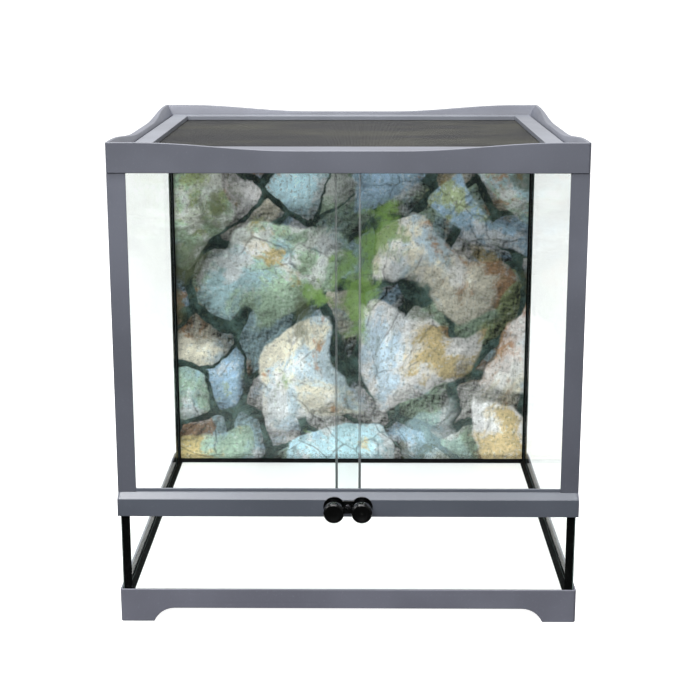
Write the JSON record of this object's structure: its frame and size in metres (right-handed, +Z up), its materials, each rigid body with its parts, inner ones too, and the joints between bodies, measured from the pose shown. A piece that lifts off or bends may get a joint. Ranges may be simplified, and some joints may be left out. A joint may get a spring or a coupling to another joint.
{
  "type": "reptile terrarium",
  "caption": "Front-opening glass terrarium in a plastic frame: two overlapping sliding doors with turning locks, lift-off screen lid, footed base and a stone print on the back.",
  "frame": {"origin": "on the table, under the middle of the overall box, which runs from the knobs in front to the base's back wall", "axes": "+X to the viewer's right as the doors are faced, +Y to the back, +Z up"},
  "size_m": [0.452, 0.4785, 0.475],
  "materials": {
    "grey_plastic": "satin moulded plastic, blue-grey",
    "lid_plastic": "satin moulded plastic, lighter blue-grey",
    "track_plastic": "extruded plastic",
    "white_board": "white panel",
    "clear_glass": "clear float glass",
    "door_glass": "clear float glass with ground edges",
    "printed_sheet": "coated print of stones",
    "black_silicone": "cured silicone",
    "black_plastic": "black moulded plastic",
    "cam_plastic": "black moulded plastic",
    "black_screw": "blackened steel",
    "steel": "plain steel",
    "screen_wire": "fine dark wire screen",
    "screen_rubber": "rubber cord"
  },
  "bodies": {
    "tank": {"base_frame": "grey_plastic", "floor_panel": "white_board", "left_glass": "clear_glass", "right_glass": "clear_glass", "back_glass": "clear_glass", "lower_front_glass": "clear_glass", "back_picture": "printed_sheet", "floor_seal": "black_silicone", "back_left_seal": "black_silicone", "back_right_seal": "black_silicone", "front_left_seal": "black_silicone", "front_right_seal": "black_silicone", "left_post": "grey_plastic", "right_post": "grey_plastic", "mid_rail": "grey_plastic", "left_rail_cap": "grey_plastic", "right_rail_cap": "grey_plastic", "lock_plate": "black_plastic", "plate_screw": "black_screw", "top_frame": "grey_plastic", "upper_track": "track_plastic"},
    "left_door": {"left_door": "door_glass"},
    "right_door": {"right_door": "door_glass"},
    "left_lock": {"left_knob": "black_plastic", "left_shaft": "steel", "left_cam": "cam_plastic", "left_clip": "steel"},
    "right_lock": {"right_knob": "black_plastic", "right_shaft": "steel", "right_cam": "cam_plastic", "right_clip": "steel"},
    "lid": {"lid_frame": "lid_plastic", "lid_screen": "screen_wire", "screen_cord": "screen_rubber"}
  },
  "joints": [
    {"name": "left_door_slide", "type": "slide", "parent": "tank", "child": "left_door", "axis": [1, 0, 0], "range_m": [0, 0.204]},
    {"name": "right_door_slide", "type": "slide", "parent": "tank", "child": "right_door", "axis": [-1, 0, 0], "range_m": [0, 0.204]},
    {"name": "left_lock_turn", "type": "hinge", "parent": "tank", "child": "left_lock", "pos_m": [-0.0135, -0.21171, 0.1225], "axis": [0, 1, 0], "range_deg": [-90, 0]},
    {"name": "right_lock_turn", "type": "hinge", "parent": "tank", "child": "right_lock", "pos_m": [0.0135, -0.21171, 0.1225], "axis": [0, 1, 0], "range_deg": [0, 90]},
    {"name": "lid_lift", "type": "slide", "parent": "tank", "child": "lid", "axis": [0, 0, 1], "range_m": [0, 0.2]}
  ]
}
